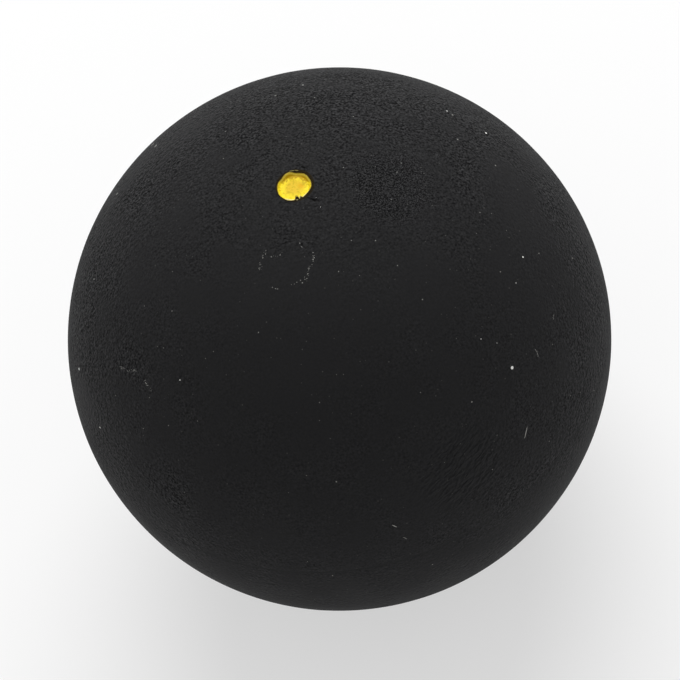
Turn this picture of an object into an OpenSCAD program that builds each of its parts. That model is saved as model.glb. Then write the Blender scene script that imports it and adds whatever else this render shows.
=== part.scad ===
// Squash ball: two moulded rubber half shells, cemented rim to rim, with a
// painted dot in a shallow dish at the pole of one half.
// The origin is the middle of the ball. +Z runs out through the dot, and the
// seam lies in the XY plane.

/* [Ball] */
// Outer diameter of the ball
ball_d = 40; // [36:0.5:44]
// Thickness of the rubber wall
wall_t = 5; // [3:0.1:7]

/* [Seam] */
// Thickness of the film of cement between the flat rims
film_t = 0.1; // [0.05:0.01:0.3]
// Width of the bevel round the outer edge of each rim
outer_bevel = 0.06; // [0.03:0.01:0.3]
// Width of the bevel round the inner edge of each rim
inner_bevel = 0.4; // [0.1:0.05:0.8]
// How far the cement line lies below the surface of the ball
line_sink = 0.03; // [0.01:0.01:0.05]
// Width of the bead of cement that is squeezed out inside the ball
bead_w = 1.4; // [1:0.1:2.4]
// How far that bead stands out from the inner wall
bead_proud = 0.4; // [0.1:0.05:0.5]

/* [Dot] */
// Diameter of the dish that holds the dot, across its mouth
dish_d = 2.7; // [2.6:0.1:4]
// Diameter of the flat floor of the dish
dish_floor_d = 2.2; // [1.4:0.1:2.4]
// Depth of the floor below the mouth
dish_depth = 0.25; // [0.15:0.01:0.5]
// Thickness of the paint that lines the dish
paint_t = 0.04; // [0.02:0.01:0.08]
// Bare ring between the edge of the paint and the mouth of the dish
paint_margin = 0.06; // [0.02:0.01:0.1]

/* [Hidden] */
$fn = 180;

// How far each cut runs past the solid that it cuts
overrun = 1;

outer_r = ball_d / 2;
inner_r = outer_r - wall_t;

// Each rim is flat and stands half a film above or below the seam plane
rim_z = film_t / 2;
rim_outer_r = sqrt(outer_r * outer_r - rim_z * rim_z);
rim_inner_r = sqrt(inner_r * inner_r - rim_z * rim_z);

// The dish has a flat floor and a sloping wall that meets the ball at the mouth
mouth_r = dish_d / 2;
mouth_z = sqrt(outer_r * outer_r - mouth_r * mouth_r);
floor_r = dish_floor_d / 2;
floor_z = mouth_z - dish_depth;
paint_r = mouth_r - paint_margin;

// Everything to the right of the axis and above height z, in the section plane
module quadrant(z) {
    translate([0, z])
        square([outer_r + overrun, outer_r + overrun]);
}

// The corner that a 45 degree bevel takes off a rim. side is 1 at the outer
// edge and -1 at the inner one
module bevel_corner(edge_r, bevel, side) {
    reach = bevel + overrun;
    translate([edge_r, rim_z])
        polygon([
            [-side * reach, -overrun],
            [side * overrun, -overrun],
            [side * overrun, reach]
        ]);
}

// Section of a half shell, as the mould makes it and the grinder bevels it
module shell_section() {
    difference() {
        intersection() {
            circle(outer_r);
            quadrant(rim_z);
        }
        circle(inner_r);
        bevel_corner(rim_outer_r, outer_bevel, 1);
        bevel_corner(rim_inner_r, inner_bevel, -1);
    }
}

// Section of the dish: the floor, and the slope of the wall run on past the mouth
module dish_section() {
    slope = (mouth_r - floor_r) / dish_depth;
    polygon([
        [0, floor_z],
        [floor_r, floor_z],
        [mouth_r + slope * overrun, mouth_z + overrun],
        [0, mouth_z + overrun]
    ]);
}

// Section of the cement before the rims shape it: the zone between the bevels,
// and the bead inside
module cement_zone() {
    zone_z = rim_z + max(outer_bevel, inner_bevel);
    difference() {
        intersection() {
            circle(outer_r - line_sink);
            translate([inner_r, -zone_z])
                square([wall_t, 2 * zone_z]);
        }
        circle(inner_r);
    }
    translate([inner_r - bead_proud + bead_w / 2, 0])
        circle(d = bead_w);
}

module dotted_half_shell() {
    color("#2b2b2c")
        rotate_extrude()
            difference() {
                shell_section();
                dish_section();
            }
}

module plain_half_shell() {
    color("#2a2a2b")
        rotate_extrude()
            mirror([0, 1])
                shell_section();
}

module seam_cement() {
    color("#191919")
        rotate_extrude()
            difference() {
                cement_zone();
                shell_section();
                mirror([0, 1])
                    shell_section();
            }
}

// The paint is a film on the floor and the wall: the dish less the same dish
// raised by the film's thickness
module yellow_dot() {
    color("#f0cf3a")
        rotate_extrude()
            difference() {
                intersection() {
                    dish_section();
                    translate([0, floor_z])
                        square([paint_r, dish_depth + overrun]);
                }
                translate([0, paint_t])
                    dish_section();
            }
}

dotted_half_shell();
plain_half_shell();
seam_cement();
yellow_dot();
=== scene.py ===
# %% [markdown]
# # A squash ball in buffed rubber
#
# The object is a squash ball, 40 mm across. Two half shells of black rubber
# are moulded, ground at their rims, cemented into one hollow ball and buffed
# matt. A small yellow dot is painted into a shallow dish at the pole of one
# half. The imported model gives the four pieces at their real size. This lesson
# gives them the skin of the real thing, then a camera and a soft light like
# the photograph's. Every length is in metres unless its comment says
# millimetres, and +Z runs out through the dot.

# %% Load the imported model
import math

import bpy
import numpy as np
from mathutils import Matrix, Vector, noise


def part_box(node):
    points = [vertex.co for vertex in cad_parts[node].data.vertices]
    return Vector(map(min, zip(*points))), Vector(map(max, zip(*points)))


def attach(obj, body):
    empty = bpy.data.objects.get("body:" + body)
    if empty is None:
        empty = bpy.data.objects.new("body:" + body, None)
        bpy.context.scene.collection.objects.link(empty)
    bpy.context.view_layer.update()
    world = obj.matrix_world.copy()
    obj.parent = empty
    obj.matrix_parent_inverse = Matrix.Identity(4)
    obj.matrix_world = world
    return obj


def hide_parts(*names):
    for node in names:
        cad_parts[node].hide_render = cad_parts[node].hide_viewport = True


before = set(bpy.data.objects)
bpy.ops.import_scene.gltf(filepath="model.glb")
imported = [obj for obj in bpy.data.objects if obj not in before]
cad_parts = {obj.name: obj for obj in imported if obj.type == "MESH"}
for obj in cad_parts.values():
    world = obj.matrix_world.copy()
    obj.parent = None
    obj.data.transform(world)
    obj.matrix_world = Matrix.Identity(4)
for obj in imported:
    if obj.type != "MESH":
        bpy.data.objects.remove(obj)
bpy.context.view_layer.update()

# %% [markdown]
# ## Sizes
#
# A piece that is drawn again must keep the size of the solid it stands for,
# so the main sizes are read from the frame and not typed a second time. Only
# what the frame can't tell, such as the wall inside, is written here.

# %% Sizes from the frame
MM = 0.001
BALL_R = -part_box("plain_half_shell")[0][2]
RIM_Z = -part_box("plain_half_shell")[1][2]
WALL = 5.0 * MM
MOUTH_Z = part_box("dotted_half_shell")[1][2]
MOUTH_R = math.sqrt(BALL_R**2 - MOUTH_Z**2)
DISH_FLOOR_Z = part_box("yellow_dot")[0][2]
PAINT_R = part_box("yellow_dot")[1][0]
print(f"ball {2 * BALL_R / MM:.2f} mm, dish mouth {2 * MOUTH_R / MM:.2f} mm, paint {2 * PAINT_R / MM:.2f} mm")

# %% [markdown]
# ## Camera
#
# The photograph tells where the camera stood. The outline of the ball gives
# the length of the lens once a distance is chosen, and the place of the dot
# inside the outline gives the camera's height and its roll, because the dot
# is at the pole. A long lens fits: the dot is as oval as its tilt says, with
# almost no perspective.

# %% What the photograph measures
PHOTO_SIZE = 680
BALL_PX = (339.55, 339.1)
BALL_RADIUS_PX = 271.8
DOT_PX = (293.8, 185.4)
CAMERA_RADII = 22
CAMERA_DISTANCE = CAMERA_RADII * BALL_R
FOCAL_PX = BALL_RADIUS_PX / math.tan(math.asin(BALL_R / CAMERA_DISTANCE))


def sight(px):
    """The line of sight through a pixel, in the camera's axes."""
    return Vector(((px[0] - BALL_PX[0]) / FOCAL_PX, (BALL_PX[1] - px[1]) / FOCAL_PX, -1))


def seen_on_ball(px):
    """Unit direction from the ball's centre to the point seen at a pixel, in the camera's axes."""
    ray = sight(px).normalized()
    centre = Vector((0, 0, -CAMERA_DISTANCE))
    along = ray.dot(centre)
    reach = along - math.sqrt(along**2 - CAMERA_DISTANCE**2 + BALL_R**2)
    return (ray * reach - centre) / BALL_R


pole = seen_on_ball(DOT_PX)
camera_height = math.asin(pole.z)
camera_roll = math.atan2(pole.x, pole.y)
print(f"camera {math.degrees(camera_height):.1f} deg up, rolled {math.degrees(camera_roll):.1f} deg")

# %% The camera's axes, and a way from a pixel to a place on the ball
view_back = Vector((0, -math.cos(camera_height), math.sin(camera_height)))
level_right = Vector((1, 0, 0))
level_up = view_back.cross(level_right)
view_right = level_right * math.cos(camera_roll) + level_up * math.sin(camera_roll)
view_up = view_back.cross(view_right)
VIEW_AXES = Matrix((view_right, view_up, view_back)).transposed()


def on_ball(px):
    """Unit direction, in the object's axes, of the point of the ball that the photograph shows at a pixel."""
    return VIEW_AXES @ seen_on_ball(px)


def at_level(px, height):
    """Where the line of sight through a pixel crosses a level plane."""
    ray = VIEW_AXES @ sight(px)
    eye = view_back * CAMERA_DISTANCE
    return eye + ray * ((height - eye.z) / ray.z)


print("the dot is at", tuple(round(v, 3) for v in on_ball(DOT_PX)))

# %% Make the camera
NEAR_CLIP = 10 * MM

camera_data = bpy.data.cameras.new("camera")
camera_data.lens = FOCAL_PX * camera_data.sensor_width / PHOTO_SIZE
camera_data.shift_x = (PHOTO_SIZE / 2 - BALL_PX[0]) / PHOTO_SIZE
camera_data.shift_y = (BALL_PX[1] - PHOTO_SIZE / 2) / PHOTO_SIZE
camera_data.clip_start = NEAR_CLIP
camera = bpy.data.objects.new("camera", camera_data)
bpy.context.collection.objects.link(camera)
camera.matrix_world = Matrix.Translation(view_back * CAMERA_DISTANCE) @ VIEW_AXES.to_4x4()
bpy.context.scene.camera = camera
bpy.context.scene.view_settings.view_transform = "Standard"
print(f"lens {camera_data.lens:.0f} mm")

# %% [markdown]
# ## Helpers for materials
#
# A hex colour is written as the eye and the paint chart have it, in sRGB, and
# the shader wants linear light, so one function converts it. Another adds a
# node: a value in its inputs that is a socket becomes a link, and any other
# value is set on the input itself. Most materials here are layers, so two
# more functions join masks, and a third lays colours over one another.

# %% Colours and nodes
def linear(hex_colour):
    """An sRGB hex colour as linear red, green, blue and alpha. The numbers are those of the sRGB standard."""
    parts = [int(hex_colour[i:i + 2], 16) / 255 for i in (1, 3, 5)]
    return [v / 12.92 if v <= 0.04045 else ((v + 0.055) / 1.055) ** 2.4 for v in parts] + [1.0]


def add_node(tree, kind, inputs=None, out=None, **settings):
    """A new shader node, or its output called out.

    inputs maps the identifier of a socket to a value, or to the socket that feeds it.
    """
    node = tree.nodes.new("ShaderNode" + kind)
    for name, value in settings.items():
        setattr(node, name, value)
    sockets = {socket.identifier: socket for socket in node.inputs}
    for name, value in (inputs or {}).items():
        if isinstance(value, bpy.types.NodeSocket):
            tree.links.new(value, sockets[name])
        else:
            sockets[name].default_value = value
    if out is None:
        return node
    return {socket.identifier: socket for socket in node.outputs}[out]


def new_material(name):
    """An empty node material, and its tree."""
    material = bpy.data.materials.new(name)
    material.use_nodes = True
    material.node_tree.nodes.clear()
    return material, material.node_tree


WHITE = linear("#ffffff")
print("middle grey in linear light:", round(linear("#808080")[0], 3))

# %% Masks and layers
def any_of(tree, masks):
    """1 where at least one of the masks is 1."""
    joined = 0.0
    for mask in masks:
        joined = add_node(tree, "Math", {"Value": joined, "Value_001": mask}, "Value", operation="MAXIMUM")
    return joined


def product(tree, factors):
    """Masks or other values multiplied: of masks, 1 where all of them are 1."""
    result = factors[0]
    for factor in factors[1:]:
        result = add_node(tree, "Math", {"Value": result, "Value_001": factor}, "Value", operation="MULTIPLY")
    return result


def laid_over(tree, colour, layers):
    """A colour with layers over it, each a mask and the hex colour that it lets through."""
    for mask, hex_colour in layers:
        inputs = {"Factor_Float": mask, "A_Color": colour, "B_Color": linear(hex_colour)}
        colour = add_node(tree, "Mix", inputs, "Result_Color", data_type="RGBA")
    return colour


# %% [markdown]
# ## Helpers for meshes
#
# Every piece of the ball is a round thing with small departures from round,
# so each can be made the way a lathe sees it: a chain of loops of points from
# the outside to the inside. The loops have the same number of points, and
# quads join one loop to the next. A piece on the axis closes with a fan at
# each end. A ring closes by joining its last loop to its first.

# %% Join loops into a closed mesh
SECTORS = 520


def lathe(name, loops, start=None, end=None):
    """A closed mesh from loops of points.

    start and end are the points on the axis that close a chain. Without them the loops close into a ring.
    """
    count = len(loops[0])
    points = np.concatenate(loops)
    here = np.arange(count)
    after = (here + 1) % count
    faces = []
    pairs = len(loops) - 1 if start is not None else len(loops)
    for i in range(pairs):
        a = i * count
        b = ((i + 1) % len(loops)) * count
        faces += np.stack([a + here, b + here, b + after, a + after], axis=1).tolist()
    if start is not None:
        points = np.concatenate([points, [start, end]])
        last = (len(loops) - 1) * count
        faces += np.stack([np.full(count, len(points) - 2), here, after], axis=1).tolist()
        faces += np.stack([np.full(count, len(points) - 1), last + after, last + here], axis=1).tolist()
    mesh = bpy.data.meshes.new(name)
    mesh.from_pydata(points.tolist(), [], faces)
    mesh.polygons.foreach_set("use_smooth", [True] * len(mesh.polygons))
    return mesh


def signed_volume(mesh):
    """The mesh's volume, negative if its faces look inwards."""
    mesh.calc_loop_triangles()
    corners = np.empty(len(mesh.vertices) * 3)
    mesh.vertices.foreach_get("co", corners)
    triangles = np.empty(len(mesh.loop_triangles) * 3, dtype=np.int32)
    mesh.loop_triangles.foreach_get("vertices", triangles)
    a, b, c = corners.reshape(-1, 3)[triangles.reshape(-1, 3)].transpose(1, 0, 2)
    return float(np.einsum("ij,ij->i", a, np.cross(b, c)).sum() / 6)


print(f"a sector is {2 * math.pi * BALL_R / SECTORS / MM:.2f} mm wide at the seam")

# %% Put a mesh in the scene
SHARP_FROM_DEGREES = 50


def add_piece(mesh, material, node):
    """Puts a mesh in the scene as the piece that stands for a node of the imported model."""
    if signed_volume(mesh) < 0:
        mesh.flip_normals()
    mesh.set_sharp_from_angle(angle=math.radians(SHARP_FROM_DEGREES))
    piece = bpy.data.objects.new(mesh.name, mesh)
    bpy.context.collection.objects.link(piece)
    mesh.materials.append(material)
    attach(piece, "root")
    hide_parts(node)
    print(f"{piece.name}: {len(mesh.loop_triangles)} triangles, {signed_volume(mesh) / MM**3:.2f} mm3")


# %% [markdown]
# ## The relief of the rubber
#
# Moulded and buffed rubber is not a perfect sphere. Three things show: a slow
# waviness left by the mould and by shrinkage, a finer orange peel, and, at a
# smaller scale than any mesh should carry, the grain of the buffing. The
# first two are modelled here, as offsets of about a hundredth of a millimetre
# along the radius. The grain is bump in the material.

# %% Noise at many points
SEED_STEP = 11.7
OCTAVE_FALL = 1.0
OCTAVE_RATIO = 2.0


def fractal(points, wavelength, octaves, seed):
    """Fractal noise, about -1 to 1, at each point of an array."""
    shifted = points.reshape(-1, 3) / wavelength + seed * SEED_STEP
    values = [noise.fractal(p, OCTAVE_FALL, OCTAVE_RATIO, octaves) for p in shifted.tolist()]
    return np.array(values).reshape(points.shape[:-1])


def smooth_step(value):
    """0 below 0, 1 above 1, and a soft slope between."""
    t = np.clip(value, 0, 1)
    return t * t * (3 - 2 * t)


print("noise at three points:", fractal(np.eye(3), 0.4, octaves=2, seed=1).round(2))

# %% Waviness and orange peel
WAVE_LENGTH = 9.0 * MM
WAVE_HEIGHT = 0.012 * MM
PEEL_LENGTH = 1.6 * MM
PEEL_HEIGHT = 0.004 * MM


def rubber_relief(points):
    """Offset along the radius of moulded and buffed rubber."""
    waves = fractal(points, WAVE_LENGTH, octaves=3, seed=1)
    peel = fractal(points, PEEL_LENGTH, octaves=2, seed=1)
    return WAVE_HEIGHT * waves + PEEL_HEIGHT * peel


print(f"waves every {WAVE_LENGTH / MM:.0f} mm, peel every {PEEL_LENGTH / MM:.1f} mm")

# %% [markdown]
# ## The dish and the folds beside it
#
# The mould presses a shallow dish for the dot. Its wall is short and steep,
# and buffing has softened its lip, so the depth is a smooth step from the
# floor to the round of the ball, a little uneven round the turn. Two short
# folds of rubber run out from the lip in the photograph. Each is a groove
# along the line between two places that were measured there.

# %% The dish for the dot
DISH_DEPTH = BALL_R - DISH_FLOOR_Z
DISH_WALL_IN = MOUTH_R - 0.34 * MM
DISH_WALL_OUT = MOUTH_R - 0.07 * MM
DISH_WOBBLE = 0.03 * MM
DISH_WOBBLE_LENGTH = 0.9


def round_ring(turn):
    """Points of a unit circle, for noise that joins up after a full turn."""
    return np.stack([np.cos(turn), np.sin(turn), np.zeros_like(turn)], axis=-1)


def dish_drop(across, turn):
    """How far the dish lies under the round of the ball, across metres from the axis."""
    wobble = DISH_WOBBLE * fractal(round_ring(turn), DISH_WOBBLE_LENGTH, octaves=2, seed=3)
    rise = smooth_step((across - DISH_WALL_IN - wobble) / (DISH_WALL_OUT - DISH_WALL_IN))
    sag = BALL_R - np.sqrt(BALL_R**2 - np.minimum(across, MOUTH_R) ** 2)
    return (DISH_DEPTH - sag) * (1 - rise)


print(f"dish {DISH_DEPTH / MM:.3f} mm deep on the axis")

# %% The two short folds beside the dish
FOLDS_PX = (((309.2, 199.2), (319.0, 200.9)), ((299.4, 165.7), (306.6, 168.3)))
FOLD_HALF_WIDTH = 0.13 * MM
FOLD_DEPTH = 0.09 * MM


def fold_drop(points):
    """Depth of the short folds that run out from the dish, at each point of an array."""
    drop = np.zeros(points.shape[:-1])
    for from_px, to_px in FOLDS_PX:
        start = np.array(on_ball(from_px)) * BALL_R
        run = np.array(on_ball(to_px)) * BALL_R - start
        share = np.clip((points - start) @ run / (run @ run), 0, 1)
        away = np.linalg.norm(points - start - share[..., None] * run, axis=-1)
        drop = np.maximum(drop, FOLD_DEPTH * (1 - smooth_step(away / FOLD_HALF_WIDTH)))
    return drop


for from_px, to_px in FOLDS_PX:
    print(f"fold {(on_ball(to_px) - on_ball(from_px)).length * BALL_R / MM:.2f} mm long")

# %% [markdown]
# ## The seam
#
# The rims are ground and bevelled before they are cemented, and the finished
# ball is buffed across the joint. That leaves a shallow trough, deeper in
# some places than in others, with a dark line of cement at its bottom. The
# same function gives the trough to both halves and to the cement, so the
# three meet with no gap.

# %% The trough along the seam
TROUGH_HALF_WIDTH = 0.5 * MM
TROUGH_DEPTH = 0.009 * MM
TROUGH_UNEVEN = 0.9
TROUGH_UNEVEN_LENGTH = 0.22
TROUGH_RANGE = (0.1, 2)
CEMENT_HALF_WIDTH = 0.1 * MM
CEMENT_BEVEL = 0.06 * MM


def trough_drop(from_seam, turn):
    """Depth of the trough at a distance from the seam plane, along the ball's surface."""
    strength = 1 + TROUGH_UNEVEN * fractal(round_ring(turn), TROUGH_UNEVEN_LENGTH, octaves=3, seed=5)
    return TROUGH_DEPTH * np.clip(strength, *TROUGH_RANGE) * (1 - smooth_step(from_seam / TROUGH_HALF_WIDTH))


print(f"trough {2 * TROUGH_HALF_WIDTH / MM:.1f} mm wide and about {TROUGH_DEPTH / MM:.3f} mm deep")


# %% Rings of the outer skin, by distance from the pole along the surface
QUARTER = BALL_R * math.pi / 2
SKIN_STEP = 0.225 * MM
DISH_STEP = 0.09 * MM
DISH_ZONE = 3.0 * MM
SEAM_ZONE = 0.9 * MM
SEAM_RINGS = 14
SEAM_CROWDING = 1.6


def ring_places(dish):
    """Where the rings lie: close together round the dish and near the seam."""
    pole_step = DISH_STEP if dish else SKIN_STEP
    first = np.arange(pole_step, DISH_ZONE, pole_step)
    middle = np.arange(DISH_ZONE, QUARTER - SEAM_ZONE, SKIN_STEP)
    shares = np.linspace(0, 1, SEAM_RINGS)
    last = QUARTER - CEMENT_HALF_WIDTH - (SEAM_ZONE - CEMENT_HALF_WIDTH) * (1 - shares) ** SEAM_CROWDING
    return np.concatenate([first, middle, last])


print("rings:", len(ring_places(True)), "dotted,", len(ring_places(False)), "plain")

# %% [markdown]
# ## The half shells
#
# Each half is one closed chain of loops: the outer skin from the pole to the
# seam, the bevel and the flat ground rim, and the inner wall back to the
# axis. The inside is never seen on a whole ball, but it makes the mesh a true
# shell, so a cut or an X-ray view of it is right.

# %% Level loops, and those of the inner wall
RIM_BEVEL_IN = 0.4 * MM
INNER_RINGS = 11
INNER_R = BALL_R - WALL
WALL_START = math.pi / 2 - (RIM_Z + RIM_BEVEL_IN) / INNER_R
TURN = np.linspace(0, 2 * math.pi, SECTORS, endpoint=False)


def circle(across, height):
    """A level loop of points round the axis."""
    return np.stack([across * np.cos(TURN), across * np.sin(TURN), np.full(SECTORS, height)], axis=-1)


def inner_wall(angle, side):
    """The loop of the inner wall at an angle from the pole."""
    return circle(INNER_R * math.sin(angle), side * INNER_R * math.cos(angle))


print(f"hollow {2 * INNER_R / MM:.1f} mm across")

# %% Build one half shell
def half_shell(name, side, dish):
    """A half shell. side is 1 for the half whose pole is at +Z and -1 for the other."""
    loops = []
    for place in ring_places(dish):
        angle = place / BALL_R
        ray = circle(math.sin(angle), side * math.cos(angle))
        drop = trough_drop(QUARTER - place, TURN)
        if dish:
            across = np.full(SECTORS, BALL_R * math.sin(angle))
            drop = drop + dish_drop(across, TURN) + fold_drop(ray * BALL_R)
        radius = BALL_R + rubber_relief(ray * BALL_R) - drop
        loops.append(ray * radius[:, None])
    edge = loops[-1]
    depth = np.linalg.norm(edge, axis=1) - CEMENT_BEVEL
    rim = edge * (depth / np.linalg.norm(edge, axis=1))[:, None]
    rim[:, 2] = side * RIM_Z
    loops.append(rim)
    loops.append(circle(INNER_R + RIM_BEVEL_IN, side * RIM_Z))
    for share in np.linspace(1, 1 / INNER_RINGS, INNER_RINGS):
        loops.append(inner_wall(WALL_START * share, side))
    top = DISH_FLOOR_Z if dish else BALL_R
    return lathe(name, loops, start=(0, 0, side * top), end=(0, 0, side * INNER_R))


dotted_mesh = half_shell("dotted_half_shell_rubber", 1, True)
plain_mesh = half_shell("plain_half_shell_rubber", -1, False)
print("vertices:", len(dotted_mesh.vertices), len(plain_mesh.vertices))

# %% [markdown]
# ## The seam cement
#
# The cement is a thin web between the ground rims. Outside it fills the bevels
# up to the floor of the trough. Inside it fills the larger bevels and stands
# out as the round bead that the clamp squeezed from the joint. It is one ring,
# drawn as loops round its own section.

# %% Build the cement
BEAD_R = 0.7 * MM
BEAD_PROUD = 0.4 * MM
BEAD_STEPS = 14
CEMENT_UNEVEN = 0.004 * MM
CEMENT_UNEVEN_LENGTH = 1.1 * MM


def cement_ring(name):
    """The cement as loops round its own section, starting in the middle of the line outside."""
    angle = math.pi / 2 - CEMENT_HALF_WIDTH / BALL_R
    sides = []
    for side in (1, -1):
        ray = circle(math.sin(angle), side * math.cos(angle))
        radius = BALL_R + rubber_relief(ray * BALL_R) - trough_drop(CEMENT_HALF_WIDTH, TURN)
        outer = ray * radius[:, None]
        rim = ray * (radius - CEMENT_BEVEL)[:, None]
        rim[:, 2] = side * RIM_Z
        inner_rim = circle(INNER_R + RIM_BEVEL_IN, side * RIM_Z)
        sides.append([outer, rim, inner_rim, inner_wall(WALL_START, side)])
    upper, lower = sides
    middle = (upper[0] + lower[0]) / 2
    sunk = CEMENT_UNEVEN * (1 + fractal(middle, CEMENT_UNEVEN_LENGTH, octaves=2, seed=7))
    middle[:, :2] *= 1 - (sunk / BALL_R)[:, None]
    bead_centre = INNER_R - BEAD_PROUD + BEAD_R
    meets_wall = (bead_centre**2 + INNER_R**2 - BEAD_R**2) / (2 * bead_centre)
    open_angle = math.acos((bead_centre - meets_wall) / BEAD_R)
    bead = []
    for share in np.linspace(1, -1, BEAD_STEPS):
        height = BEAD_R * math.sin(open_angle * share)
        bead.append(circle(bead_centre - BEAD_R * math.cos(open_angle * share), height))
    return lathe(name, [middle] + upper + bead + lower[::-1])


cement_mesh = cement_ring("seam_cement_line")
print("vertices:", len(cement_mesh.vertices))

# %% [markdown]
# ## The dot
#
# The dot is a drop of yellow enamel, set in the dish and left to level. It
# is a film a few hundredths of a millimetre thick that runs up the wall of
# the dish and stops at an edge that surface tension has drawn unevenly. The
# outline goes through points of the edge in the photograph, each put on the
# level of the dish's mouth, because a plain circle looks stamped. Where two
# chips are missing, the rubber shows.

# %% The outline of the paint
PAINT_EDGE_PX = (
    (311.9, 185.4), (308.6, 177.1), (305.8, 174.0), (301.5, 172.5), (294.0, 172.1),
    (290.3, 171.8), (286.7, 172.9), (281.3, 178.3), (278.3, 181.5), (276.8, 185.6),
    (277.0, 190.3), (278.6, 194.4), (282.3, 197.5), (286.0, 200.0), (290.0, 200.7),
    (294.0, 200.0), (299.5, 198.7), (303.8, 195.4), (306.5, 192.8), (310.1, 190.0),
)
PAINT_ROUNDING = 21
PAINT_WOBBLE = 0.01 * MM
PAINT_WOBBLE_LENGTH = 0.2
# Each chip: the pixel of its middle, its half angle in radians and its depth. CHIP_FLAT of it is full depth.
CHIPS = (((297.0, 198.6), 0.2, 0.38 * MM), ((301.8, 198.0), 0.13, 0.22 * MM))
CHIP_FLAT = 0.4


def paint_edge():
    """Radius of the paint's outline at each turn, through the points of it that the photograph shows."""
    points = [at_level(px, MOUTH_Z) for px in PAINT_EDGE_PX]
    places = sorted((math.atan2(p.y, p.x), math.hypot(p.x, p.y)) for p in points)
    turns, reaches = zip(*places)
    edge = np.interp(TURN, turns, reaches, period=2 * math.pi)
    window = np.hanning(2 * PAINT_ROUNDING + 1)
    edge = np.concatenate([edge[-PAINT_ROUNDING:], edge, edge[:PAINT_ROUNDING]])
    edge = np.convolve(edge, window / window.sum(), mode="valid")
    wobble = fractal(round_ring(TURN), PAINT_WOBBLE_LENGTH, octaves=2, seed=9)
    edge = np.minimum(edge, PAINT_R) + PAINT_WOBBLE * (wobble - 1)
    for px, half_angle, depth in CHIPS:
        chip = on_ball(px)
        away = np.abs((TURN - math.atan2(chip.y, chip.x) + math.pi) % (2 * math.pi) - math.pi)
        edge = edge - depth * (1 - smooth_step((away / half_angle - CHIP_FLAT) / (1 - CHIP_FLAT)))
    return edge


print(f"paint from {paint_edge().min() / MM:.2f} to {paint_edge().max() / MM:.2f} mm from the axis")

# %% The dish's face under the paint
def dish_surface(across):
    """Points of the dish at these distances from the axis, one for each turn."""
    angle = np.arcsin(across / BALL_R)
    ray = np.stack([np.sin(angle) * np.cos(TURN), np.sin(angle) * np.sin(TURN), np.cos(angle)], axis=-1)
    radius = BALL_R + rubber_relief(ray * BALL_R) - dish_drop(across, TURN)
    return ray * radius[:, None]


print(f"floor of the dish at {dish_surface(np.zeros(SECTORS))[0, 2] / MM:.3f} mm")

# %% Build the paint
PAINT_T = 0.04 * MM
PAINT_EDGE_T = 0.012 * MM
PAINT_BEAD_T = 0.03 * MM
PAINT_RINGS = 30
PAINT_CROWDING = 1.5
PAINT_EDGE_FROM = 0.94
PAINT_BEAD_AT = 0.93
PAINT_BEAD_WIDTH = 0.03
PAINT_UNEVEN = 0.35
PAINT_UNEVEN_LENGTH = 0.5 * MM


def paint_film(name):
    """The paint: its face from the middle to the edge, then its back. reach says how far out a point is."""
    edge = paint_edge()
    shares = 1 - (1 - np.linspace(1 / PAINT_RINGS, 1, PAINT_RINGS)) ** PAINT_CROWDING
    face = []
    back = []
    for share in shares:
        under = dish_surface(edge * share)
        thin = smooth_step((share - PAINT_EDGE_FROM) / (1 - PAINT_EDGE_FROM))
        bead = PAINT_BEAD_T * math.exp(-(((share - PAINT_BEAD_AT) / PAINT_BEAD_WIDTH) ** 2))
        thickness = PAINT_T + bead + (PAINT_EDGE_T - PAINT_T - bead) * thin
        thickness = thickness * (1 + PAINT_UNEVEN * fractal(under, PAINT_UNEVEN_LENGTH, octaves=2, seed=4))
        over = under.copy()
        over[:, 2] += thickness
        face.append(over)
        back.append(under)
    middle = (0, 0, face[0][:, 2].mean())
    mesh = lathe(name, face + back[::-1], start=middle, end=(0, 0, back[0][:, 2].mean()))
    reach = mesh.attributes.new("reach", "FLOAT", "POINT")
    reach.data.foreach_set("value", np.append(np.repeat([*shares, *shares[::-1]], SECTORS), [0, 0]))
    return mesh


paint_mesh = paint_film("yellow_dot_paint")
print("vertices:", len(paint_mesh.vertices))

# %% [markdown]
# ## Places for the materials
#
# A pattern has to stay on the ball when the ball moves, so every pattern is
# worked out from the point's place in the object, in millimetres. What the
# photograph shows in one place, such as a speck, is put there through the
# camera: the pixel gives the place on the ball, and a mask is 1 round it.

# %% Places on the ball, in millimetres
def object_mm(tree):
    """The point's place in the object, in millimetres."""
    place = add_node(tree, "TexCoord", out="Object")
    return add_node(tree, "VectorMath", {"Vector": place, "Scale": 1 / MM}, "Vector", operation="SCALE")


def ball_mm(px):
    """The place on the ball that the photograph shows at a pixel, in millimetres."""
    return on_ball(px) * (BALL_R / MM)


def spot_mask(tree, place, px, radius, softness):
    """1 within radius millimetres of the place that the photograph shows at a pixel, and 0 outside."""
    ends = {"Vector": place, "Vector_001": ball_mm(px)}
    away = add_node(tree, "VectorMath", ends, "Value", operation="DISTANCE")
    slope = {"Value": away, "From Min": radius + softness, "From Max": radius - softness}
    return add_node(tree, "MapRange", slope, "Result", interpolation_type="SMOOTHSTEP")


def spindle_mask(tree, place, from_px, to_px, radius):
    """1 in a thin spindle between the places that the photograph shows at two pixels."""
    run = ball_mm(to_px) - ball_mm(from_px)
    spindle = {
        "Vector": place,
        "Location": (ball_mm(from_px) + ball_mm(to_px)) / 2,
        "Rotation": run.to_track_quat("X", "Z").to_euler(),
        "Scale": (run.length / 2, radius, radius),
    }
    as_ball = add_node(tree, "Mapping", spindle, "Vector", vector_type="TEXTURE")
    away = add_node(tree, "VectorMath", {"Vector": as_ball}, "Value", operation="LENGTH")
    return add_node(tree, "Math", {"Value": away, "Value_001": 1.0}, "Value", operation="LESS_THAN")


print("a pixel is", round(BALL_R / MM / BALL_RADIUS_PX, 3), "mm wide in the middle of the ball")

# %% Many spots, and lines
SPECK_SOFTNESS = 0.01


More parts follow.
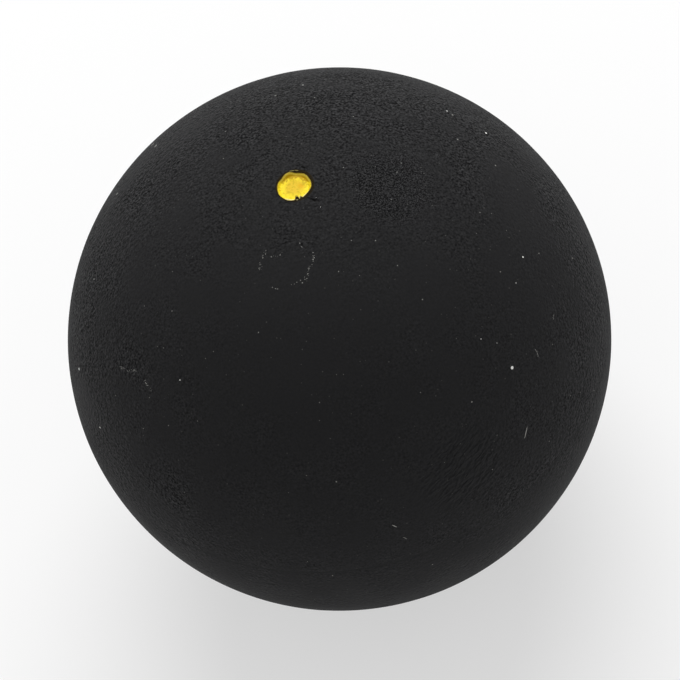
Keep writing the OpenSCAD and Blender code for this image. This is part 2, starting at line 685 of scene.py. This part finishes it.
def spots(tree, place, round_specks):
    """1 on round specks, each given by the pixel that shows it and its radius in millimetres."""
    return any_of(tree, [spot_mask(tree, place, px, radius, SPECK_SOFTNESS) for px, radius in round_specks])


def drawn_lines(tree, place, lines):
    """1 along lines, each given by the pixels that it goes through and its half width in millimetres."""
    spindles = []
    for *line_px, radius in lines:
        for from_px, to_px in zip(line_px, line_px[1:]):
            spindles.append(spindle_mask(tree, place, from_px, to_px, radius))
    return any_of(tree, spindles)


# %% [markdown]
# ## Buffed rubber: the grain
#
# The compound is natural or butyl rubber filled with carbon black, moulded
# and then buffed with grit of about a tenth of a millimetre. The grit tears
# short ridges about three grits apart. They break up the light, so the ball
# looks dull and slightly rough. Play and handling wear the grain down: it is
# weak on one flank and stronger the farther from there, in patches. The
# patches, their sizes and their strengths follow the photograph.

# %% Sizes of the grain, in millimetres
# A patch is the pixel of its middle, its radius and its softness.
GRIT_SIZE = 0.1
GRAIN_LENGTH = 3 * GRIT_SIZE
GRAIN_HEIGHT = 0.18 * MM
GRAIN_BASE = 0.85
GRAIN_CREST = 3.5
# One patch was buffed with finer strokes. Its ridges are drawn two pixels apart, as fine as can show.
FINE_GRAIN_LENGTH = 0.155
FINE_PATCH = ((393, 184), 3.2, 1.5)
# In another the belt dragged the rubber into creases, drawn out along its stroke.
CREASE_LENGTH = 0.27
CREASE_STRETCH = 2.4
CREASE_DEPTH = 2.2
CREASE_ALONG = (view_right * 0.8 + view_up).normalized()
CREASED_PATCH = ((463, 467), 3.4, 2.0)
print(f"a ridge every {GRAIN_LENGTH:.2f} mm, creases every {CREASE_LENGTH:.2f} mm")

# %% Where the grain is strong
# A patch is the pixel of its middle, its radius in millimetres and its strength. The ramps give a
# strength for the distance from the worn middle, for the height, both in millimetres, and for noise.
WORN_CENTRE_PX = (325, 415)
GRAIN_PATCHES = (
    ((245, 98), 2.6, 2.5), ((320, 84), 3.4, 3.0), ((395, 92), 2.6, 2.4), ((97, 240), 2.4, 2.6),
    ((84, 300), 2.6, 3.6), ((82, 350), 2.2, 2.5), ((140, 190), 1.6, 2.2), ((160, 262), 3.6, 0.4),
    ((205, 198), 2.4, 0.58), ((392, 185), 2.8, 1.0), ((350, 140), 2.2, 1.0), ((345, 180), 2.0, 1.3),
    ((292, 243), 1.4, 0.9), ((290, 345), 5.4, 0.12), ((430, 290), 2.8, 0.15), ((195, 300), 1.6, 0.15),
    ((130, 365), 1.6, 1.0), ((190, 400), 1.6, 0.9), ((165, 490), 2.2, 1.05), ((525, 265), 5.0, 0.24),
    ((515, 195), 3.0, 0.25), ((550, 380), 2.6, 0.38),
)
WEAR = {"From Min": 12.0, "From Max": 25.0, "To Min": 0.3, "To Max": 1.5}
PLAIN_HALF = {"From Min": -2.0, "From Max": 1.0, "To Min": 0.45, "To Max": 1.0}
CLOUDS = {"From Min": 0.33, "From Max": 0.67, "To Min": 0.4, "To Max": 1.6}
CLOUDS_PER_MM = 0.35
print(len(GRAIN_PATCHES), "patches of grain")


# %% The strength of the grain
def grain_depth(tree, place):
    """How strong the grain is: little on the flank that is worn smooth, and more the farther from it."""
    ends = {"Vector": place, "Vector_001": ball_mm(WORN_CENTRE_PX)}
    away = add_node(tree, "VectorMath", ends, "Value", operation="DISTANCE")
    depth = add_node(tree, "MapRange", WEAR | {"Value": away}, "Result")
    for px, radius, strength in GRAIN_PATCHES:
        patch = spot_mask(tree, place, px, radius, radius / 2)
        blend = {"Factor_Float": patch, "A_Float": depth, "B_Float": strength}
        depth = add_node(tree, "Mix", blend, "Result_Float")
    clouds = add_node(tree, "TexNoise", {"Vector": place, "Scale": CLOUDS_PER_MM, "Detail": 4.0}, "Fac")
    cloudy = add_node(tree, "MapRange", CLOUDS | {"Value": clouds}, "Result")
    height = add_node(tree, "SeparateXYZ", {"Vector": place}, "Z")
    half = add_node(tree, "MapRange", PLAIN_HALF | {"Value": height}, "Result")
    return product(tree, (depth, cloudy, half))


# %% The grain
def drawn_out(tree, place, along, stretch):
    """The place with lengths along one direction shrunk, so that a pattern on it is drawn out that way."""
    ends = {"Vector": place, "Vector_001": along}
    reach = add_node(tree, "VectorMath", ends, "Value", operation="DOT_PRODUCT")
    share = product(tree, (reach, 1 / stretch - 1))
    shift = add_node(tree, "VectorMath", {"Vector": along, "Scale": share}, "Vector", operation="SCALE")
    return add_node(tree, "VectorMath", {"Vector": place, "Vector_001": shift}, "Vector", operation="ADD")


def buffing_grain(tree, place, depth, fine_patch):
    """Height of the grain: ridges in no one direction, finer in one patch, and creases in another."""
    ridge = {"Vector": place, "Roughness": 0.6}
    ridges = add_node(tree, "TexNoise", ridge | {"Scale": 1 / GRAIN_LENGTH, "Detail": 1.5}, "Fac")
    finer = add_node(tree, "TexNoise", ridge | {"Scale": 1 / FINE_GRAIN_LENGTH, "Detail": 1.0}, "Fac")
    crease = {"Vector": drawn_out(tree, place, CREASE_ALONG, CREASE_STRETCH), "Scale": 1 / CREASE_LENGTH}
    creases = add_node(tree, "TexNoise", crease | {"Detail": 0.5, "Distortion": 0.5}, "Fac")
    creased = spot_mask(tree, place, *CREASED_PATCH)
    pattern = ridges
    for patch, other in ((fine_patch, finer), (creased, creases)):
        blend = {"Factor_Float": patch, "A_Float": pattern, "B_Float": other}
        pattern = add_node(tree, "Mix", blend, "Result_Float")
    blend = {"Factor_Float": creased, "A_Float": depth, "B_Float": CREASE_DEPTH}
    strength = add_node(tree, "Mix", blend, "Result_Float")
    level = add_node(tree, "Math", {"Value": pattern, "Value_001": 0.5}, "Value", operation="SUBTRACT")
    peaked = {"Value": product(tree, (level, level)), "Value_001": GRAIN_CREST, "Value_002": GRAIN_BASE}
    crest = add_node(tree, "Math", peaked, "Value", operation="MULTIPLY_ADD")
    return product(tree, (level, crest, strength))


# %% [markdown]
# ## Buffed rubber: dust, grit, lint and scale
#
# A ball that has been handled picks up dust, a few grains of white grit and
# short fibres of lint. Three drops of water have dried on it and left rings
# of scale. The dust that is spread evenly comes from a cell pattern with at
# most one speck to a cell. Specks that stand out in the photograph are placed
# one by one, because they are what the eye finds again.

# %% Scattered dust
def scattered(tree, place, cell, radius, share):
    """1 on specks scattered one to a cell. share is how many of the cells hold one."""
    cells = add_node(tree, "TexVoronoi", {"Vector": place, "Scale": 1 / cell}).outputs
    draw = add_node(tree, "SeparateColor", {"Color": cells["Color"]}).outputs
    kept = add_node(tree, "Math", {"Value": draw["Red"], "Value_001": share}, "Value", operation="LESS_THAN")
    reach = {"Value": cells["Distance"], "Value_001": product(tree, (draw["Green"], radius / cell))}
    inside = add_node(tree, "Math", reach, "Value", operation="LESS_THAN")
    return product(tree, (inside, kept))


# %% Grit, dust and lint one by one
# Each is a pixel or a line of pixels, and a radius in millimetres.
GRIT = (
    ((512.1, 367.7), 0.12), ((523, 257), 0.062), ((94, 279), 0.031), ((303, 85), 0.04),
    ((486, 133), 0.079), ((447, 111), 0.06), ((516, 283), 0.035), ((180, 380), 0.045),
    ((100, 427.5), 0.07), ((79, 369), 0.1), ((172, 311), 0.02), ((481, 339), 0.034), ((497, 343), 0.024),
    ((316, 197.6), 0.014), ((320.5, 207), 0.02),
)
DUST = (
    ((275.5, 95.5), 0.08), ((314.5, 97.5), 0.052), ((452.5, 115.0), 0.075), ((353.5, 116.5), 0.048),
    ((457.6, 139.4), 0.058), ((223.5, 158.5), 0.04), ((495.5, 165.5), 0.06), ((476.5, 233.5), 0.026),
    ((351.5, 240.5), 0.031), ((375.5, 240.5), 0.041), ((397.5, 265.5), 0.038), ((338.5, 271.5), 0.039),
    ((422.5, 299.5), 0.046), ((319.5, 402.5), 0.034), ((420.5, 392.5), 0.034), ((168.5, 425.5), 0.038),
    ((492.5, 469.5), 0.04), ((432.5, 564.5), 0.05), ((332.5, 575.5), 0.05), ((225.5, 131.5), 0.037),
    ((343.5, 167.5), 0.037), ((491.5, 213.5), 0.03), ((506.5, 230.5), 0.029), ((172.5, 271.5), 0.026),
    ((359.5, 275.5), 0.026), ((144.5, 306.0), 0.03), ((552.5, 344.5), 0.035), ((157.5, 346.5), 0.026),
    ((163.5, 347.9), 0.032), ((213.5, 351.5), 0.029), ((205.5, 358.5), 0.026), ((115.5, 395.5), 0.033),
    ((149.5, 397.5), 0.032), ((197.5, 421.0), 0.031), ((444.5, 462.5), 0.024), ((306.5, 475.5), 0.03),
    ((184.5, 492.5), 0.027), ((288.5, 492.5), 0.022), ((307.5, 561.5), 0.033), ((155.7, 145.9), 0.13),
    ((152.6, 144.6), 0.14), ((117.0, 193.8), 0.1), ((456.5, 338.5), 0.022), ((336.5, 374.5), 0.024),
    ((343.5, 374.5), 0.023), ((570.5, 395.5), 0.029), ((435.9, 395.9), 0.022), ((319.5, 420.5), 0.024),
    ((291.5, 284.6), 0.026), ((294.5, 284.0), 0.024), ((296.8, 282.3), 0.032), ((300.5, 280.3), 0.033),
    ((302.4, 282.8), 0.044),
)
LINT = (
    ((527.3, 426.6), (524.6, 438.6), 0.03), ((534.9, 348.9), (536.9, 352.0), (538.5, 357.5), 0.016),
    ((553.9, 314.4), (553.0, 317.0), (553.7, 319.6), 0.012), ((392, 525), (397, 527), 0.03),
    ((403, 537), (407, 539), 0.013),
)
print(len(GRIT), "grains of grit,", len(DUST), "specks of dust,", len(LINT), "fibres")

# %% Drops that dried and left rings of scale
# Each line is the pixels along it, and its half width in millimetres.
SCALE_LINES = (
    ((266.5, 249), (262.5, 259), (259.6, 266), (260.2, 271.5), 0.1),
    ((312.6, 252), (313.8, 262.5), (309, 266.5), (308, 275.5), (304, 279.5), 0.12),
    ((270, 257), (279.5, 255.5), (283.5, 252), 0.05), ((297.5, 240.5), (302.3, 247.5), 0.06),
    ((271.5, 287), (278.8, 289), 0.06), ((119, 366), (127, 371.2), (138, 370.3), 0.1),
    ((143.5, 379), (148, 386), (152, 391), 0.13),
)
SCALE_CELL = 0.095
SCALE_SPECK_R = 0.054
SCALE_SHARE = 0.9


def dried_scale(tree, place):
    """1 on the specks of scale along the parts of each ring that show."""
    specks = scattered(tree, place, SCALE_CELL, SCALE_SPECK_R, SCALE_SHARE)
    return product(tree, (drawn_lines(tree, place, SCALE_LINES), specks))


print(len(SCALE_LINES), "lines of scale")

# %% All the pale dust, in millimetres
# Real dust is a few hundredths of a millimetre. The scattered specks are drawn coarser, so that they show.
DUST_CELL = 1.1
DUST_R = 0.06
DUST_SHARE = 0.2
PATCH_DUST_CELL = 0.45
PATCH_DUST_R = 0.06
PATCH_DUST_SHARE = 0.35


def pale_dust(tree, place, fine_patch):
    """1 on the dust: thin over the ball, thicker in the fine patch, the scale, and the single specks."""
    over_ball = scattered(tree, place, DUST_CELL, DUST_R, DUST_SHARE)
    in_patch = scattered(tree, place, PATCH_DUST_CELL, PATCH_DUST_R, PATCH_DUST_SHARE)
    caught = product(tree, (fine_patch, in_patch))
    return any_of(tree, (over_ball, spots(tree, place, DUST), dried_scale(tree, place), caught))

# %% Painted shade, tinted brown, on the dish's lip round the paint, painted shade inside the folds, a pale olive line along the upper lip, and a fleck of enamel on the lip
DISH_LIP_SHADE = ((294.6, 185.2), 1.4, 0.04)
FOLD_INSIDE = 0.085
PALE_LIP_LINE = (((288.8, 171.4), (294.5, 170.4), (298.4, 170.6), 0.03),)
FLECKS = (((297.0, 199.2), 0.062),)

# %% [markdown]
# ## Buffed rubber: the material
#
# Carbon black makes the rubber nearly black right through. Its tips are dark
# grey and its pits black, which gives the eye a fine speckle under the grain:
# partly the paler tone of buffed tips, partly painted light on the tips and
# painted shade in the pits. Rubber has an IOR of about 1.5. Buffing leaves it so
# rough (0.7) that no highlight shows, only a wide, weak sheen that grows towards
# the edge of the ball. Carbon is far finer than a pixel, so the speckle is drawn
# at 0.16 mm, which is just coarse enough to show.

# %% Tips and pits
SPECKLE_LENGTH = 0.16
FINE_SPECKLE_LENGTH = 0.1
FINE_GRAIN_SPECKLE = 0.5
TIPS = {"From Min": -0.22, "From Max": 0.36}


def rubber_tips(tree, place, depth, fine_patch):
    """0 in the pits of the speckle and 1 on its tips, with more contrast where the grain is strong."""
    speckle = add_node(tree, "TexNoise", {"Vector": place, "Scale": 1 / SPECKLE_LENGTH, "Detail": 1.0}, "Fac")
    fine = {"Vector": place, "Scale": 1 / FINE_SPECKLE_LENGTH, "Detail": 0.0}
    finer = add_node(tree, "TexNoise", fine, "Fac")
    blend = {"Factor_Float": fine_patch, "A_Float": speckle, "B_Float": finer}
    speckle = add_node(tree, "Mix", blend, "Result_Float")
    level = add_node(tree, "Math", {"Value": speckle, "Value_001": 0.5}, "Value", operation="SUBTRACT")
    more = {"Value": fine_patch, "Value_001": FINE_GRAIN_SPECKLE, "Value_002": depth}
    contrast = add_node(tree, "Math", more, "Value", operation="MULTIPLY_ADD")
    return add_node(tree, "MapRange", TIPS | {"Value": product(tree, (level, contrast))}, "Result")


print(f"speckle every {SPECKLE_LENGTH} mm, and every {FINE_SPECKLE_LENGTH} mm in the fine patch")

# %% Colours of the rubber and of what lies on it
# Pits and tips of the speckle: partly the rubber's own tone, partly painted shade and painted light.
RUBBER_PIT = "#050506"
RUBBER_TIP = "#39393a"
# Painted shade, tinted brown, for the dish's lip round the paint.
RUBBER_LIP_SHADE = "#1f1807"
# Painted shade for the inside of the folds.
RUBBER_SHADED = "#060504"
# A pale olive line along the dish's upper lip.
PALE_LIP_LINE_COLOUR = "#8a8250"
FLECK_COLOUR = "#e0d2a0"
GRIT_COLOUR = "#f4f4f0"
LINT_COLOUR = "#a8a8a4"
DUST_COLOUR = "#8a8a86"
FINE_DUST_COLOUR = "#484846"
print("tips of the rubber in linear light:", round(linear(RUBBER_TIP)[0], 4))

# %% Make the rubber
FINE_DUST_CELL = 0.4
FINE_DUST_R = 0.05
FINE_DUST_SHARE = 0.55
BLOTCHES_PER_MM = 0.22
BLOTCH_ROUGHNESS = {"From Min": 0.3, "From Max": 0.7, "To Min": 0.68, "To Max": 0.76}


def buffed_rubber(name):
    """Black rubber, buffed matt, with dust in its grain."""
    material, tree = new_material(name)
    place = object_mm(tree)
    depth = grain_depth(tree, place)
    fine_patch = spot_mask(tree, place, *FINE_PATCH)
    layers = (
        # Grey tips and black pits: partly the buffed tips' own tone, partly painted light and painted shade
        # of the grain.
        (rubber_tips(tree, place, depth, fine_patch), RUBBER_TIP),
        # Painted shade, tinted brown, on the dish's lip round the paint.
        (spot_mask(tree, place, *DISH_LIP_SHADE), RUBBER_LIP_SHADE),
        # Painted shade inside the two folds.
        (drawn_lines(tree, place, [(*fold, FOLD_INSIDE) for fold in FOLDS_PX]), RUBBER_SHADED),
        # A pale olive line along the dish's upper lip.
        (drawn_lines(tree, place, PALE_LIP_LINE), PALE_LIP_LINE_COLOUR),
        (scattered(tree, place, FINE_DUST_CELL, FINE_DUST_R, FINE_DUST_SHARE), FINE_DUST_COLOUR),
        (pale_dust(tree, place, fine_patch), DUST_COLOUR),
        (drawn_lines(tree, place, LINT), LINT_COLOUR),
        (spots(tree, place, GRIT), GRIT_COLOUR),
        (spots(tree, place, FLECKS), FLECK_COLOUR),
    )
    blotch = add_node(tree, "TexNoise", {"Vector": place, "Scale": BLOTCHES_PER_MM, "Detail": 4.0}, "Fac")
    grain = buffing_grain(tree, place, depth, fine_patch)
    skin = {
        "Base Color": laid_over(tree, linear(RUBBER_PIT), layers),
        "Roughness": add_node(tree, "MapRange", BLOTCH_ROUGHNESS | {"Value": blotch}, "Result"),
        "IOR": 1.5,
        "Specular IOR Level": 0.07,
        "Normal": add_node(tree, "Bump", {"Height": grain, "Distance": GRAIN_HEIGHT}, "Normal"),
    }
    add_node(tree, "OutputMaterial", {"Surface": add_node(tree, "BsdfPrincipled", skin, "BSDF")})
    return material


rubber = buffed_rubber("buffed_black_rubber")
print("nodes in the rubber:", len(rubber.node_tree.nodes))

# %% [markdown]
# ## Cured rubber cement
#
# Rubber cement is rubber dissolved in spirit. As it dries it shrinks back
# into the joint and keeps the brush's small lumps, about half a millimetre
# across. It is the same black as the shells, without the torn grain, so to
# the eye it is a dark hairline. IOR and roughness start from those of rubber.

# %% Make the cement
CEMENT_LOW = "#191a1a"
CEMENT_HIGH = "#2a2a2b"
LUMPS_PER_MM = 2.2
LUMP_HEIGHT = 0.02 * MM


def cured_cement(name):
    """Rubber cement: smooth lumps between the two buffed skins."""
    material, tree = new_material(name)
    place = object_mm(tree)
    lumps = add_node(tree, "TexNoise", {"Vector": place, "Scale": LUMPS_PER_MM, "Detail": 3.0}, "Fac")
    skin = {
        "Base Color": laid_over(tree, linear(CEMENT_LOW), [(lumps, CEMENT_HIGH)]),
        "Roughness": 0.8,
        "IOR": 1.5,
        "Specular IOR Level": 0.08,
        "Normal": add_node(tree, "Bump", {"Height": lumps, "Distance": LUMP_HEIGHT}, "Normal"),
    }
    add_node(tree, "OutputMaterial", {"Surface": add_node(tree, "BsdfPrincipled", skin, "BSDF")})
    return material


cement_skin = cured_cement("cured_rubber_cement")
print("nodes in the cement:", len(cement_skin.node_tree.nodes))

# %% [markdown]
# ## Yellow enamel
#
# The dot is one drop of enamel over black rubber. Where the film is thick it
# is a deep, warm yellow, round that it is lemon, and where it ran thin on the
# upper wall of the dish the black shows through and makes it olive, which is
# also painted shade of that wall. Its edge is darker all round but on its
# lowest side: thin film over black, and painted shade. Painted highlights run
# along its rim, a dull pale yellow on the upper side and a bright pale yellow
# on the lower. Enamel that dried in the air has a soft gloss: its IOR is about
# 1.48, and its pigment gives a roughness near 0.45. The pigment clots every
# 0.4 mm, with a mottle of 0.2 mm over that: their real size. Each layer follows
# a measure or two, such as how far up the wall a point lies.

# %% What the layers of enamel follow
CLOT_LENGTH = 0.4
MOTTLE_LENGTH = 0.2
MOTTLE_SHARE = 0.7
LEMON_RAGGED = 0.8
THIN_RAGGED = 0.5
THIN_FROM_PX = (295.2, 190.6)
AMBER_PX = (301.3, 186.2)
LEVEL_ONLY = Vector((1, 1, 0))
DOWNHILL = view_right * 0.35 - view_up * 0.94


def floor_mm(px):
    """The place on the dish's floor that the photograph shows at a pixel, in millimetres."""
    return at_level(px, DISH_FLOOR_Z) / MM


print("the amber spot is at", tuple(round(v, 2) for v in floor_mm(AMBER_PX)), "mm")

# %% The measures
def enamel_measures(tree, place):
    """Each measure that a layer of enamel follows, by name, and the clots."""
    clots = add_node(tree, "TexNoise", {"Vector": place, "Scale": 1 / CLOT_LENGTH, "Detail": 4.0}, "Fac")
    mottle = add_node(tree, "TexNoise", {"Vector": place, "Scale": 1 / MOTTLE_LENGTH, "Detail": 2.0}, "Fac")
    level = {"Vector": place, "Vector_001": LEVEL_ONLY}
    flat = add_node(tree, "VectorMath", level, "Vector", operation="MULTIPLY")
    pairs = {
        "up the wall": ("DOT_PRODUCT", flat, view_up),
        "down the wall": ("DOT_PRODUCT", flat, DOWNHILL),
        "from amber": ("DISTANCE", place, floor_mm(AMBER_PX)),
        "from thin": ("DISTANCE", flat, floor_mm(THIN_FROM_PX) * LEVEL_ONLY),
    }
    measures = {"reach": add_node(tree, "Attribute", out="Fac", attribute_name="reach"), "mottle": mottle}
    for name, (operation, first, second) in pairs.items():
        inputs = {"Vector": first, "Vector_001": second}
        measures[name] = add_node(tree, "VectorMath", inputs, "Value", operation=operation)
    across = add_node(tree, "VectorMath", {"Vector": flat}, "Value", operation="LENGTH")
    mixed = {"Value": mottle, "Value_001": MOTTLE_SHARE, "Value_002": clots}
    ragged = add_node(tree, "Math", mixed, "Value", operation="MULTIPLY_ADD")
    sums = {
        "ragged across": (clots, LEMON_RAGGED, across),
        "ragged from thin": (ragged, THIN_RAGGED, measures["from thin"]),
    }
    for name, (pattern, share, distance) in sums.items():
        inputs = {"Value": pattern, "Value_001": share, "Value_002": distance}
        measures[name] = add_node(tree, "Math", inputs, "Value", operation="MULTIPLY_ADD")
    return measures, clots


# %% The layers of enamel
# Each mask: its measure, and where that makes it 0 and 1, in millimetres. Mottle and reach have no unit.
ENAMEL_MASKS = {
    "lemon": ("ragged across", 0.8, 1.25),
    "amber": ("from amber", 0.38, 0.0),
    "mottled": ("mottle", 0.45, 0.72),
    "thin": ("ragged from thin", 1.4, 1.6),
    "upper wall": ("up the wall", 0.2, 0.45),
    "lower wall": ("down the wall", 0.5, 0.85),
    "not the lowest": ("up the wall", -0.9, -0.3),
    "rim": ("reach", 0.87, 0.91),
    "edge": ("reach", 0.92, 1.0),
}
ENAMEL_DEEP = "#ecc62a"
ENAMEL_LAYERS = (
    (("lemon",), "#fde42c"),
    (("amber",), "#ecb612"),
    (("mottled",), "#d2b418"),
    # Olive of thin enamel on the upper wall, and painted shade there.
    (("thin", "upper wall"), "#c09a02"),
    # Painted highlight, dull and pale, along the rim's upper side.
    (("rim", "upper wall"), "#dcc544"),
    # Painted highlight, bright and pale, along the rim's lower side.
    (("rim", "lower wall"), "#fbea90"),
    # Darker edge all round but the lowest side: thin enamel over black, and painted shade.
    (("edge", "not the lowest"), "#6a5610"),
)
print(len(ENAMEL_LAYERS), "layers over the deep yellow")

# %% Make the enamel
CLOT_HEIGHT = 0.04 * MM


def yellow_enamel(name):
    """Yellow enamel over black rubber: deep in the middle, lemon round it, thin and in painted shade on one
    side of the wall, with painted highlights along its rim.
    """
    material, tree = new_material(name)
    measures, clots = enamel_measures(tree, object_mm(tree))
    masks = {}
    for mask_name, (measure, low, high) in ENAMEL_MASKS.items():
        slope = {"Value": measures[measure], "From Min": low, "From Max": high}
        masks[mask_name] = add_node(tree, "MapRange", slope, "Result", interpolation_type="SMOOTHSTEP")
    layers = []
    for mask_names, hex_colour in ENAMEL_LAYERS:
        layers.append((product(tree, [masks[mask_name] for mask_name in mask_names]), hex_colour))
    skin = {
        "Base Color": laid_over(tree, linear(ENAMEL_DEEP), layers),
        "Roughness": 0.45,
        "IOR": 1.48,
        "Specular IOR Level": 0.12,
        "Normal": add_node(tree, "Bump", {"Height": clots, "Distance": CLOT_HEIGHT}, "Normal"),
    }
    add_node(tree, "OutputMaterial", {"Surface": add_node(tree, "BsdfPrincipled", skin, "BSDF")})
    return material


enamel = yellow_enamel("yellow_enamel")
print("nodes in the enamel:", len(enamel.node_tree.nodes))

# %% [markdown]
# ## Put the pieces together
#
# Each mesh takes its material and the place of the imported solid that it
# stands for. A squash ball has no moving part, so all four ride on the one
# body, root.

# %% Add the four pieces
add_piece(dotted_mesh, rubber, "dotted_half_shell")
add_piece(plain_mesh, rubber, "plain_half_shell")
add_piece(cement_mesh, cement_skin, "seam_cement")
add_piece(paint_mesh, enamel, "yellow_dot")

# %% [markdown]
# ## Floor and light
#
# The ball lies on a pale floor, touching it at the pole away from the dot. A
# white dome lights it evenly, and one large soft light stands behind and
# above, as a window would. The floor is a matt white card. To the camera it
# is part card, which keeps the ball's soft shadow, and part plain white, more
# of it the farther from the ball, so that it runs into a white background as
# the photograph's does. That changes what is seen and not what lights the ball.

# %% What the camera and mirrors see
def seen_directly(tree):
    """1 for rays from the camera and for mirrored and refracted ones, 0 for those that carry light about."""
    path = add_node(tree, "LightPath").outputs
    return any_of(tree, [path[ray] for ray in ("Is Camera Ray", "Is Glossy Ray", "Is Transmission Ray")])


# %% The floor
FLOOR_R = 1.6
FLOOR_CORNERS = 96
FLOOR_SHOWN_WHITE = 0.55
FLOOR_NEAR = 0.04
FLOOR_FAR = 0.3
CARD_COLOUR = "#fcfcfc"


def white_card(name):
    """Matt white card, shown partly as plain white near the ball, and wholly as that far from it."""
    material, tree = new_material(name)
    place = add_node(tree, "TexCoord", out="Object")
    from_ball = add_node(tree, "VectorMath", {"Vector": place}, "Value", operation="LENGTH")
    slope = {"Value": from_ball, "From Min": FLOOR_NEAR, "From Max": FLOOR_FAR, "To Min": FLOOR_SHOWN_WHITE}
    shown_white = add_node(tree, "MapRange", slope, "Result", interpolation_type="SMOOTHSTEP")
    blend = {
        "Fac": product(tree, (seen_directly(tree), shown_white)),
        "Shader": add_node(tree, "BsdfDiffuse", {"Color": linear(CARD_COLOUR)}, "BSDF"),
        "Shader_001": add_node(tree, "Emission", {"Color": WHITE, "Strength": 1.0}, "Emission"),
    }
    add_node(tree, "OutputMaterial", {"Surface": add_node(tree, "MixShader", blend, "Shader")})
    return material


floor_mesh = bpy.data.meshes.new("floor")
floor_turn = np.linspace(0, 2 * math.pi, FLOOR_CORNERS, endpoint=False)
floor_rim = [(FLOOR_R * math.cos(t), FLOOR_R * math.sin(t), -BALL_R) for t in floor_turn]
floor_mesh.from_pydata(floor_rim, [], [list(range(FLOOR_CORNERS))])
floor_mesh.materials.append(white_card("white_card"))
floor = bpy.data.objects.new("floor", floor_mesh)
bpy.context.collection.objects.link(floor)
print(f"floor {2 * FLOOR_R:.1f} m across, {BALL_R / MM:.0f} mm under the ball's centre")

# %% The dome
DOME_STRENGTH = 0.44


def white_dome():
    """A world that lights at DOME_STRENGTH and is seen, and mirrored, as white."""
    world = bpy.data.worlds.new("white_dome")
    world.use_nodes = True
    tree = world.node_tree
    tree.nodes.clear()
    blend = {"Factor_Float": seen_directly(tree), "A_Float": DOME_STRENGTH, "B_Float": 1.0}
    glow = {"Color": WHITE, "Strength": add_node(tree, "Mix", blend, "Result_Float")}
    add_node(tree, "OutputWorld", {"Surface": add_node(tree, "Background", glow, "Background")})
    return world


bpy.context.scene.world = white_dome()
print("the dome lights at", DOME_STRENGTH)

# %% The large soft light
LIGHT_DISTANCE = 0.8
LIGHT_SIZE = 0.8
LIGHT_POWER = 5.8
LIGHT_FROM = (view_up * 1.0 + view_back * 0.3 - view_right * 0.12).normalized()

light_data = bpy.data.lights.new("window", "AREA")
light_data.shape = "DISK"
light_data.size = LIGHT_SIZE
light_data.energy = LIGHT_POWER
light = bpy.data.objects.new("window", light_data)
bpy.context.collection.objects.link(light)
light.location = LIGHT_FROM * LIGHT_DISTANCE
light.rotation_euler = LIGHT_FROM.to_track_quat("Z", "Y").to_euler()
print("the window stands at", tuple(round(v, 2) for v in light.location))
